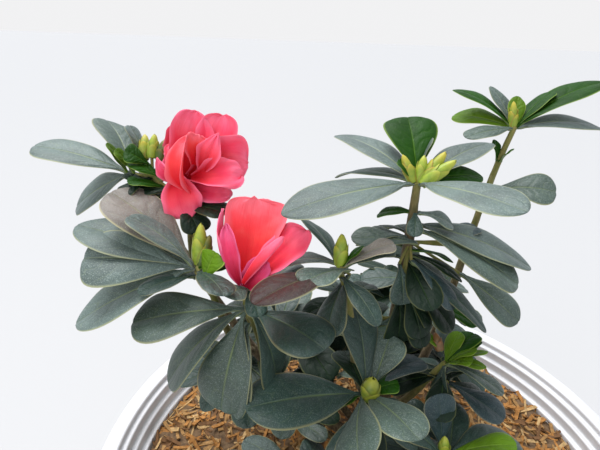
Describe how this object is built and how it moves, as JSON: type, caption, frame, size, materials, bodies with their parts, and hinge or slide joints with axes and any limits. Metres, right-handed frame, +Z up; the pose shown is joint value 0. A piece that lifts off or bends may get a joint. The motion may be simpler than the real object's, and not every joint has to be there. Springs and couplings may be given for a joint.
{
  "type": "potted azalea shrub",
  "caption": "Young azalea shrub with open whorls of leaves and coral double blooms, standing in a round white nursery pot.",
  "frame": {"origin": "centre of the pot's flat underside", "axes": "+Z up along the pot and the main stem, +Y away from the side that the picture looks from, +X to that view's right"},
  "size_m": [0.3157, 0.3, 0.442],
  "materials": {
    "pot": "smooth white moulded plastic, slightly glossy, with soft scuffs",
    "soil": "shredded orange-tan husk mulch, dry and rough, over dark soil",
    "bark": "thin grey-brown bark, yellow-green on young shoots",
    "foliage": "soft hairy leaves, grey-green on top and paler green under",
    "bloom": "thin ruffled coral-red petals with a soft sheen"
  },
  "bodies": {
    "root": {"pot": "pot", "pot_rim": "pot", "soil": "soil", "main_stem": "bark", "bough_left": "bark", "bough_flower_upper": "bark", "bough_middle_left": "bark", "bough_front_left": "bark", "bough_flower_shoot": "bark", "bough_centre_front": "bark", "bough_right": "bark", "bough_low_right": "bark", "bough_low_front": "bark", "bough_back_high": "bark", "bough_back_middle": "bark", "bough_back_left": "bark", "bough_back_right": "bark", "bough_low_left": "bark", "bough_far_front": "bark", "bough_corner_left": "bark", "bough_corner_right": "bark", "foliage_top_centre": "foliage", "foliage_top_left": "foliage", "foliage_top_right": "foliage", "foliage_flower_upper": "foliage", "foliage_flower_lower": "foliage", "foliage_middle_left": "foliage", "foliage_upper_centre": "foliage", "foliage_flower_shoot": "foliage", "foliage_front_left": "foliage", "foliage_centre_front": "foliage", "foliage_low_right": "foliage", "foliage_low_front": "foliage", "foliage_back_high": "foliage", "foliage_back_middle": "foliage", "foliage_back_left": "foliage", "foliage_back_right": "foliage", "foliage_low_left": "foliage", "foliage_far_front": "foliage", "foliage_front_corner_left": "foliage", "foliage_front_corner_right": "foliage"}
  },
  "joints": []
}
